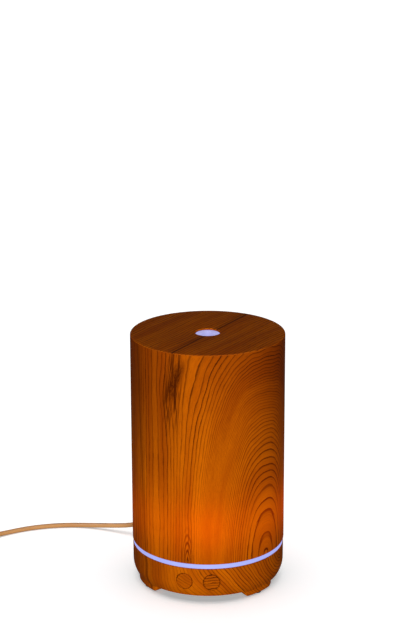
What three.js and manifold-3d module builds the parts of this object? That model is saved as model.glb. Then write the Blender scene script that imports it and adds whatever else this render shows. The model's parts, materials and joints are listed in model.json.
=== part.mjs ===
// Ultrasonic essential oil diffuser: a wood-grain cover over a water tank, on a lit base.
// Millimetres, +Z up, standing on z = 0 with its axis on x = y = 0. The front, midway between
// the two buttons, faces -Y; the power lead leaves the back, at +Y, and runs off towards -X.

import * as THREE from 'three';
import { mergeVertices } from 'three/addons/utils/BufferGeometryUtils.js';
import Module from 'manifold-3d';

const wasm = await Module();
wasm.setup();

// ---- Driving dimensions ----

const GAP = 0.3; // between pieces that touch
const TOTAL_HEIGHT = 161.5;

const COVER_RADIUS = 48;
const COVER_WALL = 2.4;
const COVER_TOP_THICKNESS = 2.6;
const COVER_EDGE = 0.7;
const OUTLET_RADIUS = 7.9;

const BASE_RADIUS = 47.7;
const BASE_WALL = 2.2;
const BASE_BOTTOM = 4.8;
const BASE_TOP = 23.6;
const FLOOR_TOP = 8;

const FOOT_INNER = 38.4;
const FOOT_OUTER = 44.7;
const FOOT_BOTTOM = 0.6;
const FOOT_HALF_ANGLE = 16;
const FOOT_ANGLES = [55, 125, 235, 305]; // degrees from the front, towards +X
const PAD_RADIUS = 2.6;
const PAD_HEIGHT = 1.5;

const RING_RADIUS = 47.4;
const RING_BOTTOM = BASE_TOP + GAP;
const RING_TOP = RING_BOTTOM + 2.7;
const COVER_BOTTOM = RING_TOP + GAP;

const TANK_RADIUS = 42.3;
const TANK_WALL = 2;
const TANK_RIM = 88;
const TANK_FLANGE_BOTTOM = 27.6;
const BOSS_RADIUS = 3.5;
const BOSS_CIRCLE = 30.5;
const BOSS_ANGLES = [45, 135, 225, 315];
const WELL_RADIUS = 17; // the boss under the tank floor that holds the transducer
const WELL_BOTTOM = 26.5;
const PIEZO_SCREW_CIRCLE = 14.3;
const PIEZO_SCREW_ANGLES = [60, 180, 300];

const DUCT_Y = 28.8;
const DUCT_RADIUS = 7;
const DUCT_BORE = 5.5;
const DUCT_TOP = 84;

const PLATE_RADIUS = 37.8;
const PLATE_BOTTOM = 5;
const PLATE_TOP = 7.8;

const BOARD_BOTTOM = 9.7;
const BOARD_THICKNESS = 1.6;
const BOARD_TOP = BOARD_BOTTOM + BOARD_THICKNESS;
const BOARD_RADIUS = 42.4;
const BOARD_SCREW = { x: 30, y: 6 };

const LED_BOARD = { inner: 35.5, outer: 42.5, bottom: 20.3, top: 21.5 };
const LED_SIZE = { wide: 5, high: 1.6, circle: 39.2 };
const LED_ANGLES = [7, 97, 187, 277];

const BUTTON_RADIUS = 5;
const BUTTON_Z = 14.8;
const BUTTON_ANGLE = 10.45; // degrees each side of the front
const BUTTON_FACE = 47.75; // distance of the button's face from the axis
const BUTTON_CLEARANCE = 0.3;

const FAN = { y: 10, side: 30, high: 10, bottom: 8.1, bore: 13.8, hub: 6.4, blades: 7 };
const FAN_SCREWS = [[-12, -2], [12, 22]];

const JACK_Z = 12.8;
const PLUG_BARREL_RADIUS = 2.75;
const JACK_BORE = 3.1;

const CORD_RADIUS = 1.55;
const CORD_SIDES = 8;
const CORD_START = new THREE.Vector3(-24.3, 54, JACK_Z);
const TIE_THICKNESS = 0.6;
const COIL_X = -174;
const COIL_Y = 43.5;
const COIL_RADIUS = 18; // to the middle of its turns
const COIL_TURNS_EACH_WAY = 3;
const USB_X = -152.5;
const USB_BACK_Y = 3;
const USB_Z = 4;

// Facets round a full turn.
const ROUND = 40;
const MEDIUM = 24;
const SMALL = 12;

// ---- Finishes ----

const FINISHES = {
  wood: { color: 0xa85a16, roughness: 0.5, metalness: 0 },
  milky: { color: 0xc8ccff, roughness: 0.4, metalness: 0 },
  white: { color: 0xe9e7e2, roughness: 0.45, metalness: 0 },
  dark: { color: 0x2a2a2c, roughness: 0.6, metalness: 0 },
  rubber: { color: 0x3a3a3a, roughness: 0.9, metalness: 0 },
  silicone: { color: 0xd8d8d4, roughness: 0.7, metalness: 0 },
  steel: { color: 0xb8babd, roughness: 0.35, metalness: 1 },
  brass: { color: 0xc9a24a, roughness: 0.3, metalness: 1 },
  copper: { color: 0xb5693a, roughness: 0.4, metalness: 1 },
  board: { color: 0x1d6b3c, roughness: 0.5, metalness: 0 },
  cord: { color: 0xcd9258, roughness: 0.55, metalness: 0 },
};

// ---- Shaping helpers ----

const radians = THREE.MathUtils.degToRad;

function signedVolume(position, index) {
  const [a, b, c] = [new THREE.Vector3(), new THREE.Vector3(), new THREE.Vector3()];
  let sum = 0;
  for (let i = 0; i < index.length; i += 3) {
    a.fromBufferAttribute(position, index[i]);
    b.fromBufferAttribute(position, index[i + 1]);
    c.fromBufferAttribute(position, index[i + 2]);
    sum += a.dot(b.cross(c));
  }
  return sum / 6;
}

// The geometry with shared vertices, no flat triangles, and faces that point out.
function closed(geometry) {
  geometry.deleteAttribute('normal');
  geometry.deleteAttribute('uv');
  const merged = mergeVertices(geometry, 1e-4);
  const old = merged.index.array;
  const index = [];
  for (let i = 0; i < old.length; i += 3) {
    const [a, b, c] = [old[i], old[i + 1], old[i + 2]];
    if (a !== b && b !== c && c !== a) index.push(a, b, c);
  }
  if (signedVolume(merged.attributes.position, index) < 0) index.reverse();
  merged.setIndex(index);
  return merged;
}

function toSolid(geometry) {
  const vertProperties = Float32Array.from(geometry.attributes.position.array);
  const triVerts = Uint32Array.from(geometry.index.array);
  return new wasm.Manifold(new wasm.Mesh({ numProp: 3, vertProperties, triVerts }));
}

function toGeometry(solid) {
  const mesh = solid.getMesh();
  const geometry = new THREE.BufferGeometry();
  const points = Float32Array.from(mesh.vertProperties);
  geometry.setAttribute('position', new THREE.BufferAttribute(points, 3));
  geometry.setIndex(new THREE.BufferAttribute(Uint32Array.from(mesh.triVerts), 1));
  return geometry;
}

function join(...geometries) {
  const solids = geometries.map(toSolid);
  return toGeometry(solids.reduce((sum, solid) => sum.add(solid)));
}

function cut(geometry, ...tools) {
  const solids = [geometry, ...tools].map(toSolid);
  return toGeometry(solids.reduce((rest, tool) => rest.subtract(tool)));
}

// Turns an outline of [radius, z] points about the Z axis. Its ends lie on the axis, or it closes.
function lathe(outline, facets = ROUND) {
  const points = outline.map(([r, z]) => new THREE.Vector2(r, z));
  const onAxis = outline[0][0] === 0 && outline[outline.length - 1][0] === 0;
  if (!onAxis) points.push(points[0].clone());
  return closed(new THREE.LatheGeometry(points, facets).rotateX(Math.PI / 2));
}

function rod(radius, z0, z1, facets = MEDIUM) {
  return lathe([[0, z0], [radius, z0], [radius, z1], [0, z1]], facets);
}

function pipe(inner, outer, z0, z1, facets = MEDIUM) {
  return lathe([[inner, z0], [outer, z0], [outer, z1], [inner, z1]], facets);
}

function block(x0, x1, y0, y1, z0, z1) {
  const box = new THREE.BoxGeometry(x1 - x0, y1 - y0, z1 - z0);
  return closed(box.translate((x0 + x1) / 2, (y0 + y1) / 2, (z0 + z1) / 2));
}

// A piece of a ring, centred on an angle from the front.
function sector(inner, outer, degrees, halfDegrees, z0, z1) {
  const half = radians(halfDegrees);
  const shape = new THREE.Shape();
  shape.absarc(0, 0, outer, -half, half, false);
  shape.absarc(0, 0, inner, half, -half, true);
  const options = { depth: z1 - z0, bevelEnabled: false, curveSegments: 5 };
  const geometry = new THREE.ExtrudeGeometry(shape, options);
  return closed(geometry.translate(0, 0, z0).rotateZ(radians(degrees - 90)));
}

// A round tube along a smooth curve through the points.
function tube(points, radius, sides, steps) {
  const section = new THREE.Shape();
  for (let i = 0; i < sides; i++) {
    const angle = (2 * Math.PI * i) / sides;
    const [x, y] = [radius * Math.cos(angle), radius * Math.sin(angle)];
    if (i === 0) section.moveTo(x, y);
    else section.lineTo(x, y);
  }
  const extrudePath = new THREE.CatmullRomCurve3(points, false, 'centripetal');
  return closed(new THREE.ExtrudeGeometry(section, { steps, extrudePath, bevelEnabled: false }));
}

// A screw with its head at the bottom and its shank pointing up.
function screw(headRadius, headHeight, shankRadius, length) {
  return lathe([
    [0, 0],
    [headRadius * 0.8, 0],
    [headRadius, headHeight * 0.4],
    [headRadius, headHeight],
    [shankRadius, headHeight],
    [shankRadius, length - shankRadius],
    [0, length],
  ], SMALL);
}

// The point at a distance from the axis, at an angle in degrees from the front towards +X.
function around(degrees, distance, z = 0) {
  const angle = radians(degrees);
  return new THREE.Vector3(distance * Math.sin(angle), -distance * Math.cos(angle), z);
}

function moved(geometry, { x, y, z }) {
  return geometry.clone().translate(x, y, z);
}

function part(group, name, finish, geometry) {
  const mesh = new THREE.Mesh(geometry, new THREE.MeshStandardMaterial(FINISHES[finish]));
  mesh.name = name;
  group.add(mesh);
  return mesh;
}

// Turns a piece built along +Z so that it points away from the axis at an angle from the front.
function facing(group, degrees, z) {
  const turned = new THREE.Group();
  turned.rotation.z = radians(degrees);
  turned.position.z = z;
  group.add(turned);
  return turned;
}

// ---- Base: shell with feet, bottom plate, screws and pads ----

function baseShell() {
  const inner = BASE_RADIUS - BASE_WALL;
  const ledge = { top: 20, radius: 41.5, thickness: 1.2 };
  const wall = lathe([
    [PLATE_RADIUS + GAP, BASE_BOTTOM],
    [45.2, BASE_BOTTOM],
    [46.3, 6.5],
    [47.1, 8.5],
    [47.6, 10.8],
    [BASE_RADIUS, 12.5],
    [BASE_RADIUS, BASE_TOP],
    [inner, BASE_TOP],
    [inner, ledge.top],
    [ledge.radius, ledge.top],
    [ledge.radius, ledge.top - ledge.thickness],
    [inner, ledge.top - 2 * ledge.thickness],
    [inner, 9.2],
    [44.3, FLOOR_TOP],
    [34.9, FLOOR_TOP],
    [34.9, 6.3],
    [PLATE_RADIUS + GAP, 6.3],
  ]);
  const into = 0.6; // how far a foot is let into the shell's underside
  const feet = FOOT_ANGLES.map((angle) => {
    return sector(FOOT_INNER, FOOT_OUTER, angle, FOOT_HALF_ANGLE, FOOT_BOTTOM, BASE_BOTTOM + into);
  });
  const pockets = FOOT_ANGLES.map((angle) => {
    const pocket = rod(PAD_RADIUS + GAP, -1, PAD_HEIGHT + GAP, SMALL);
    return moved(pocket, around(angle, (FOOT_INNER + FOOT_OUTER) / 2));
  });
  const buttonHoles = [-BUTTON_ANGLE, BUTTON_ANGLE].map((angle) => {
    const hole = rod(BUTTON_RADIUS + BUTTON_CLEARANCE, 43, 50).rotateX(Math.PI / 2);
    return hole.rotateZ(radians(angle)).translate(0, 0, BUTTON_Z);
  });
  const buttonRoom = sector(38, inner - 0.3, 0, 23, 16, ledge.top + 0.5);
  const jackHole = rod(4.9, 43, 50).rotateX(-Math.PI / 2).translate(0, 0, JACK_Z);
  return cut(join(wall, ...feet), ...pockets, ...buttonHoles, buttonRoom, jackHole);
}

function bottomPlate() {
  const plate = lathe([
    [0, PLATE_BOTTOM],
    [PLATE_RADIUS, PLATE_BOTTOM],
    [PLATE_RADIUS, 6],
    [34.6, 6],
    [34.6, PLATE_TOP],
    [0, PLATE_TOP],
  ]);
  const posts = [-1, 1].map((side) => {
    const post = rod(2.2, PLATE_TOP - 0.5, BOARD_BOTTOM - GAP, SMALL);
    return post.translate(side * BOARD_SCREW.x, BOARD_SCREW.y, 0);
  });
  const pilots = [-1, 1].map((side) => {
    return rod(1.25, 6, BOARD_TOP, SMALL).translate(side * BOARD_SCREW.x, BOARD_SCREW.y, 0);
  });
  const screwHoles = BOSS_ANGLES.flatMap((angle) => [
    moved(rod(1.6, 0, 10, SMALL), around(angle, BOSS_CIRCLE)),
    moved(rod(3.1, 0, 6.6, SMALL), around(angle, BOSS_CIRCLE)),
  ]);
  const fanHoles = FAN_SCREWS.map(([x, y]) => rod(1.6, 0, 10, SMALL).translate(x, y, 0));
  const slots = [-8, -4, 0, 4, 8].map((step) => {
    return block(-10, 10, FAN.y + step - 1.2, FAN.y + step + 1.2, 0, 10);
  });
  return cut(join(plate, ...posts), ...pilots, ...screwHoles, ...fanHoles, ...slots);
}

function addBase(root) {
  part(root, 'base_shell', 'wood', baseShell());
  part(root, 'bottom_plate', 'dark', bottomPlate());
  BOSS_ANGLES.forEach((angle, i) => {
    const mesh = part(root, `bottom_screw_${i + 1}`, 'steel', screw(2.8, 1.2, 1.2, 14));
    mesh.position.copy(around(angle, BOSS_CIRCLE, PLATE_BOTTOM + 0.1));
  });
  FOOT_ANGLES.forEach((angle, i) => {
    const mesh = part(root, `foot_pad_${i + 1}`, 'rubber', rod(PAD_RADIUS, 0, PAD_HEIGHT, SMALL));
    mesh.position.copy(around(angle, (FOOT_INNER + FOOT_OUTER) / 2));
  });
}

// ---- Light ring, gasket, tank, air duct and transducer ----

function lightRing() {
  const spigot = { inner: 43.7, outer: 45.3, top: 29 };
  const skirt = { inner: 43.4, outer: 45.1, bottom: 21.8 };
  return lathe([
    [RING_RADIUS, RING_BOTTOM],
    [RING_RADIUS, RING_TOP],
    [spigot.outer, RING_TOP],
    [spigot.outer, spigot.top],
    [spigot.inner, spigot.top],
    [spigot.inner, 26.2],
    [40, 26.2],
    [40, 24.4],
    [skirt.inner, 24.4],
    [skirt.inner, skirt.bottom],
    [skirt.outer, skirt.bottom],
    [skirt.outer, RING_BOTTOM],
  ]);
}

function waterTank() {
  const inner = TANK_RADIUS - TANK_WALL;
  const cup = lathe([
    [0, 29],
    [20, 29.3],
    [32.5, 31],
    [38.8, 34.7],
    [inner, 37.5],
    [inner, 29.4],
    [38.5, 29.4],
    [38.5, TANK_FLANGE_BOTTOM],
    [43.2, TANK_FLANGE_BOTTOM],
    [43.2, 29.4],
    [TANK_RADIUS, 29.8],
    [TANK_RADIUS, TANK_RIM],
    [0, TANK_RIM],
  ]);
  const well = rod(WELL_RADIUS, WELL_BOTTOM, 30);
  const bosses = BOSS_ANGLES.map((angle) => {
    return moved(rod(BOSS_RADIUS, 8.2, 34, SMALL), around(angle, BOSS_CIRCLE));
  });
  const ductBoss = rod(DUCT_RADIUS + 2, 28.9, 42).translate(0, DUCT_Y, 0);
  const water = lathe([
    [0, 31.2],
    [20, 31.4],
    [32, 33],
    [38, 36.5],
    [inner, 42],
    [inner, TANK_RIM + 5],
    [0, TANK_RIM + 5],
  ]);
  const pilots = BOSS_ANGLES.map((angle) => {
    return moved(rod(1.5, 0, 21, SMALL), around(angle, BOSS_CIRCLE));
  });
  const piezoPilots = PIEZO_SCREW_ANGLES.map((angle) => {
    return moved(rod(1.25, 20, 29.8, SMALL), around(angle, PIEZO_SCREW_CIRCLE));
  });
  const opening = rod(8, 20, 40);
  const seat = rod(11.8, 20, 29.2);
  const ductHole = rod(DUCT_RADIUS + GAP, 20, 50).translate(0, DUCT_Y, 0);
  const outside = join(cup, well, ...bosses, ductBoss);
  return cut(outside, water, opening, seat, ductHole, ...pilots, ...piezoPilots);
}

// A closed-top chimney that carries the fan's air past the water, with a window near its top.
function airDuct() {
  const collar = { radius: 9, bottom: 26.9, top: 28.6 };
  const chimney = lathe([
    [DUCT_BORE, collar.bottom],
    [collar.radius, collar.bottom],
    [collar.radius, collar.top],
    [DUCT_RADIUS, collar.top],
    [DUCT_RADIUS, DUCT_TOP - 1],
    [DUCT_RADIUS - 1, DUCT_TOP],
    [0, DUCT_TOP],
    [0, DUCT_TOP - 1.8],
    [DUCT_BORE, DUCT_TOP - 1.8],
  ], MEDIUM);
  const window = block(-4, 4, -10, 0, 71, 80);
  return cut(chimney, window);
}

function addTank(root) {
  part(root, 'light_ring', 'milky', lightRing());
  part(root, 'tank_gasket', 'silicone', pipe(40.6, 43, 26.5, 27.3, ROUND));
  part(root, 'water_tank', 'white', waterTank());
  part(root, 'air_duct', 'white', airDuct()).position.y = DUCT_Y;
}

function piezoSeal() {
  return lathe([
    [8.3, 28.3],
    [10.5, 28.3],
    [10.5, WELL_BOTTOM],
    [11.5, WELL_BOTTOM],
    [11.5, 28.9],
    [8.3, 28.9],
  ], MEDIUM);
}

function addTransducer(root) {
  const clamp = { inner: 6, outer: 16.6, bottom: 24.6, top: 26.2 };
  part(root, 'piezo_disc', 'steel', rod(10, 27, 28));
  part(root, 'piezo_seal', 'silicone', piezoSeal());
  const holes = PIEZO_SCREW_ANGLES.map((angle) => {
    return moved(rod(1.3, 20, 30, SMALL), around(angle, PIEZO_SCREW_CIRCLE));
  });
  const ring = pipe(clamp.inner, clamp.outer, clamp.bottom, clamp.top);
  part(root, 'piezo_clamp', 'steel', cut(ring, ...holes));
  PIEZO_SCREW_ANGLES.forEach((angle, i) => {
    const mesh = part(root, `piezo_screw_${i + 1}`, 'steel', screw(1.9, 1.3, 0.95, 6.2));
    mesh.position.copy(around(angle, PIEZO_SCREW_CIRCLE, clamp.bottom - GAP - 1.3));
  });
  const lead = [
    [13, -15, 11.6],
    [13, -15, 15],
    [9.5, -10.5, 20.5],
    [2.4, -2.4, 22.8],
    [0.4, -0.4, 24.8],
    [0.3, -0.3, 26.6],
  ];
  const route = lead.map(([x, y, z]) => new THREE.Vector3(x, y, z));
  part(root, 'transducer_lead', 'rubber', tube(route, 0.9, 6, 14));
}

// ---- Electronics in the base ----

function controlBoard() {
  const disc = rod(BOARD_RADIUS, BOARD_BOTTOM, BOARD_TOP, ROUND);
  const fanWindow = block(-16, 16, FAN.y - 16, FAN.y + 16, 0, 20);
  const jackNotch = block(-5, 5, 34, 50, 0, 20);
  const bossHoles = BOSS_ANGLES.map((angle) => {
    return moved(rod(BOSS_RADIUS + 0.4, 0, 20, SMALL), around(angle, BOSS_CIRCLE));
  });
  const screwHoles = [-1, 1].map((side) => {
    return rod(1.4, 0, 20, SMALL).translate(side * BOARD_SCREW.x, BOARD_SCREW.y, 0);
  });
  return cut(disc, fanWindow, jackNotch, ...bossHoles, ...screwHoles);
}

// A switch built along +Z, the way its plunger points.
function switchBody() {
  const body = block(-3, 3, -3, 3, 37, 40.6);
  return cut(body, rod(1.85, 38.9, 45, SMALL));
}

function dcJack() {
  const back = 34.6;
  const body = block(-4.5, 4.5, back, 44.2, JACK_Z - 4.5, JACK_Z + 4.5);
  const along = (geometry) => geometry.rotateX(-Math.PI / 2).translate(0, 0, JACK_Z);
  const snout = along(rod(4.5, 44, 47.2));
  const bore = along(rod(JACK_BORE, back + 1.5, 50));
  const pin = along(rod(1, back + 1, 46.5, SMALL));
  return join(cut(join(body, snout), bore), pin);
}

function addElectronics(root) {
  part(root, 'control_board', 'board', controlBoard());
  [-1, 1].forEach((side, i) => {
    const mesh = part(root, `board_screw_${i + 1}`, 'steel', screw(2.1, 1.2, 0.95, 5.2));
    mesh.rotation.x = Math.PI;
    mesh.position.set(side * BOARD_SCREW.x, BOARD_SCREW.y, BOARD_TOP + GAP + 1.2);
  });
  const onBoard = BOARD_TOP + GAP;
  const coil = rod(4.6, onBoard, onBoard + 7, MEDIUM).translate(-31, -9, 0);
  part(root, 'driver_coil', 'copper', coil);
  const capacitor = rod(3.1, onBoard, onBoard + 7, MEDIUM).translate(31, -9, 0);
  part(root, 'capacitor', 'dark', capacitor);
  part(root, 'drive_transistor', 'dark', block(-5, 5, -15.2, -10.8, onBoard, 20.6));
  part(root, 'controller_chip', 'dark', block(-4.5, 4.5, -28, -22, onBoard, onBoard + 1.5));
  part(root, 'dc_jack', 'dark', dcJack());
  for (const [name, angle] of [['mist', -BUTTON_ANGLE], ['light', BUTTON_ANGLE]]) {
    const turned = facing(root, angle, BUTTON_Z);
    part(turned, `${name}_switch`, 'dark', switchBody()).rotation.x = Math.PI / 2;
  }
  const strip = pipe(LED_BOARD.inner, LED_BOARD.outer, LED_BOARD.bottom, LED_BOARD.top, ROUND);
  part(root, 'led_board', 'board', strip);
  const half = LED_SIZE.wide / 2;
  LED_ANGLES.forEach((angle, i) => {
    const mesh = part(root, `led_${i + 1}`, 'white', block(-half, half, -half, half, 0, LED_SIZE.high));
    mesh.rotation.z = radians(angle);
    mesh.position.copy(around(angle, LED_SIZE.circle, LED_BOARD.top + GAP));
  });
}

// ---- Push buttons, each with the plunger of its switch ----

function buttonCap() {
  return lathe([
    [0, BUTTON_FACE],
    [BUTTON_RADIUS - 0.3, BUTTON_FACE],
    [BUTTON_RADIUS, BUTTON_FACE - 0.3],
    [BUTTON_RADIUS, 44.7],
    [5.9, 44.7],
    [5.9, 43.6],
    [1.5, 43.6],
    [1.5, 42.2],
    [0, 42.2],
  ], MEDIUM);
}

function addButtons(root) {
  for (const [name, angle] of [['mist', -BUTTON_ANGLE], ['light', BUTTON_ANGLE]]) {
    const turned = facing(root, angle, BUTTON_Z);
    part(turned, `${name}_button`, 'wood', buttonCap()).rotation.x = Math.PI / 2;
    const plunger = rod(1.5, 39.9, 41.9, SMALL);
    part(turned, `${name}_plunger`, 'dark', plunger).rotation.x = Math.PI / 2;
  }
}

// ---- Fan ----

function fanFrame() {
  const half = FAN.side / 2;
  const top = FAN.bottom + FAN.high;
  const struts = [0, 120, 240].map((angle) => {
    const strut = block(-1, 1, 4, FAN.bore + 0.6, FAN.bottom, FAN.bottom + 1.4);
    return strut.rotateZ(radians(angle));
  });
  const hub = rod(6.5, FAN.bottom, FAN.bottom + 1.4);
  const frame = cut(
    block(-half, half, -half, half, FAN.bottom, top),
    rod(FAN.bore, 0, 30),
    ...FAN_SCREWS.map(([x, y]) => rod(1.6, 0, 30, SMALL).translate(x, y - FAN.y, 0)),
  );
  return join(frame, hub, ...struts);
}

function fanRotor() {
  const [bottom, top] = [FAN.bottom + 1.9, FAN.bottom + 9.5];
  const cup = lathe([
    [5.2, bottom],
    [FAN.hub, bottom],
    [FAN.hub, top],
    [0, top],
    [0, top - 1.2],
    [5.2, top - 1.2],
  ], MEDIUM);
  const blades = Array.from({ length: FAN.blades }, (_, i) => {
    const blade = block(5.8, 13, -0.4, 0.4, -3.4, 3.4).rotateX(radians(50));
    return blade.translate(0, 0, (bottom + top) / 2).rotateZ((2 * Math.PI * i) / FAN.blades);
  });
  return join(cup, ...blades);
}

function addFan(root) {
  const fan = new THREE.Group();
  fan.position.y = FAN.y;
  root.add(fan);
  part(fan, 'fan_frame', 'dark', fanFrame());
  part(fan, 'fan_bearing', 'brass', pipe(1.15, 1.9, FAN.bottom + 1.7, FAN.bottom + 7, SMALL));
  part(fan, 'fan_stator', 'copper', pipe(2.2, 4.8, FAN.bottom + 1.7, FAN.bottom + 6.4));
  part(fan, 'fan_rotor', 'dark', fanRotor());
  part(fan, 'fan_shaft', 'steel', rod(0.8, FAN.bottom + 1.7, FAN.bottom + 8, SMALL));
  FAN_SCREWS.forEach(([x, y], i) => {
    const mesh = part(root, `fan_screw_${i + 1}`, 'steel', screw(2.6, 1.4, 1.25, 14));
    mesh.rotation.x = Math.PI;
    mesh.position.set(x, y, FAN.bottom + FAN.high + GAP + 1.4);
  });
  const lead = [[-15.3, 2, 14], [-17.5, 1.8, 14], [-19.6, 0.5, 13.4], [-20, 0, 11.6]];
  const route = lead.map(([x, y, z]) => new THREE.Vector3(x, y, z));
  part(root, 'fan_lead', 'rubber', tube(route, 0.8, 6, 8));
}

// ---- Lift-off cover ----

function outerCover() {
  const inner = COVER_RADIUS - COVER_WALL;
  return lathe([
    [inner, COVER_BOTTOM],
    [COVER_RADIUS, COVER_BOTTOM],
    [COVER_RADIUS, TOTAL_HEIGHT - COVER_EDGE],
    [COVER_RADIUS - COVER_EDGE, TOTAL_HEIGHT],
    [OUTLET_RADIUS, TOTAL_HEIGHT],
    [OUTLET_RADIUS, TOTAL_HEIGHT - COVER_TOP_THICKNESS],
    [inner, TOTAL_HEIGHT - COVER_TOP_THICKNESS],
  ]);
}

// A translucent cup, upside down in the cover's hole, with the mist hole through its middle.
function mistNozzle() {
  const flangeTop = TOTAL_HEIGHT - COVER_TOP_THICKNESS - GAP;
  const outer = OUTLET_RADIUS - GAP;
  const face = TOTAL_HEIGHT - 0.8;
  return lathe([
    [4, face - 1.3],
    [outer - 1.2, face - 1.3],
    [outer - 1.2, flangeTop - 1.5],
    [10.5, flangeTop - 1.5],
    [10.5, flangeTop],
    [outer, flangeTop],
    [outer, face],
    [4, face],
  ], MEDIUM);
}

function splashGuard() {
  const flangeTop = TOTAL_HEIGHT - COVER_TOP_THICKNESS - GAP;
  return lathe([
    [10.9, 118],
    [12.4, 118],
    [12.4, flangeTop - 1.5],
    [16, flangeTop - 1.5],
    [16, flangeTop],
    [10.9, flangeTop],
  ], MEDIUM);
}

function addCover(root) {
  const cover = new THREE.Group();
  root.add(cover);
  part(cover, 'outer_cover', 'wood', outerCover());
  part(cover, 'mist_nozzle', 'milky', mistNozzle());
  part(cover, 'splash_guard', 'white', splashGuard());
}

// ---- Power lead ----

// An angled plug: the barrel points at the jack and the lead leaves sideways, towards -X.
function dcPlug() {
  const back = 48;
  const head = lathe([
    [0, back],
    [4.7, back],
    [4.7, back + 9.4],
    [3.5, back + 10.6],
    [0, back + 10.6],
  ], MEDIUM);
  const arm = rod(3.5, 0, 9).rotateY(-Math.PI / 2).translate(0, CORD_START.y, JACK_Z);
  return join(head.rotateX(-Math.PI / 2).translate(0, 0, JACK_Z), arm);
}

// From the strain relief down onto the table, and along it to the coil's lowest outer turn.
const LEAD_ROUTE = [
  [-33, 54.1, 12.4],
  [-44, 54.6, 10.7],
  [-54, 55.5, 8.1],
  [-62.1, 56.9, 5.9],
  [-70.7, 58.9, 4.3],
  [-79.4, 60.8, 3.1],
  [-87.9, 62, 2.2],
  [-96.3, 62.4, 1.7],
  [-104.5, 61.5, 1.6],
  [-112.4, 59.7, 1.6],
  [-120.1, 57.1, 1.6],
  [-127.8, 53.6, 1.6],
  [-135.1, 49.2, 1.6],
  [-142, 43.9, 1.7],
  [-150.6, 36.2, 2.1],
];

// From the coil's highest outer turn down to the USB plug.
const TAIL_ROUTE = [
  [COIL_X + 21.1, COIL_Y - 12.5, 8.3],
  [-152.8, 24, 7],
  [-152.6, 16, 5.2],
  [-152.5, 9, 4.2],
  [USB_X, USB_BACK_Y + GAP, USB_Z],
];

function addLead(root) {
  const lead = new THREE.Group();
  root.add(lead);
  const barrel = pipe(1.35, PLUG_BARREL_RADIUS, 38, 47.7, MEDIUM);
  part(lead, 'dc_plug', 'cord', dcPlug());
  part(lead, 'plug_barrel', 'steel', barrel.rotateX(-Math.PI / 2).translate(0, 0, JACK_Z));

  const relief = lathe([[0, 9.3], [3.1, 9.3], [1.95, 24], [0, 24]], MEDIUM);
  const onArm = relief.rotateY(-Math.PI / 2).translate(0, CORD_START.y, JACK_Z);
  part(lead, 'strain_relief', 'cord', onArm);

  const route = [CORD_START, ...LEAD_ROUTE.map(([x, y, z]) => new THREE.Vector3(x, y, z))];
  part(lead, 'power_cord', 'cord', tube(route, CORD_RADIUS, CORD_SIDES, 24));

  const half = COIL_TURNS_EACH_WAY * CORD_RADIUS;
  const [inner, outer] = [COIL_RADIUS - half, COIL_RADIUS + half];
  const bottom = TIE_THICKNESS + GAP;
  const top = bottom + 2 * half;
  const corner = 1;
  const coil = lathe([
    [inner, bottom + corner],
    [inner + corner, bottom],
    [outer - corner, bottom],
    [outer, bottom + corner],
    [outer, top - corner],
    [outer - corner, top],
    [inner + corner, top],
    [inner, top - corner],
  ], MEDIUM);
  part(lead, 'cord_coil', 'cord', coil).position.set(COIL_X, COIL_Y, 0);

  const tie = cut(
    block(inner - GAP - TIE_THICKNESS, outer + GAP + TIE_THICKNESS, -2, 2, 0, top + GAP + TIE_THICKNESS),
    block(inner - GAP, outer + GAP, -5, 5, TIE_THICKNESS, top + GAP),
  );
  const tieMesh = part(lead, 'cord_tie', 'dark', tie);
  tieMesh.rotation.z = radians(135);
  tieMesh.position.set(COIL_X, COIL_Y, 0);

  const tail = TAIL_ROUTE.map(([x, y, z]) => new THREE.Vector3(x, y, z));
  part(lead, 'cord_tail', 'cord', tube(tail, CORD_RADIUS, CORD_SIDES, 8));

  // The USB plug lies flat, its contacts towards -Y.
  const usb = new THREE.Group();
  usb.position.set(USB_X, USB_BACK_Y, USB_Z);
  lead.add(usb);
  const sleeve = lathe([[0, 0], [2.2, 0], [3.1, 10.5], [0, 10.5]], SMALL).rotateX(Math.PI / 2);
  const grip = block(-7.2, 7.2, -30, -10, -4, 4);
  part(usb, 'usb_plug', 'cord', join(sleeve, grip));
  const shell = cut(block(-6, 6, -42.3, -30.3, -2.25, 2.25), block(-5.6, 5.6, -50, -31.3, -1.85, 1.85));
  part(usb, 'usb_shell', 'steel', shell);
}

const diffuser = new THREE.Group();
addBase(diffuser);
addTank(diffuser);
addTransducer(diffuser);
addElectronics(diffuser);
addButtons(diffuser);
addFan(diffuser);
addCover(diffuser);
addLead(diffuser);

export default diffuser;
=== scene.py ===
"""The looks of an ultrasonic essential oil diffuser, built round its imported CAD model.

Metres in the frame's axes: +Z up, the body's axis on x = y = 0, the front towards -Y.
Outlines are written in millimetres, as in the CAD source, and scaled by MM.
"""

import json
import math

import bmesh
import bpy
from mathutils import Matrix, Vector


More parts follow.
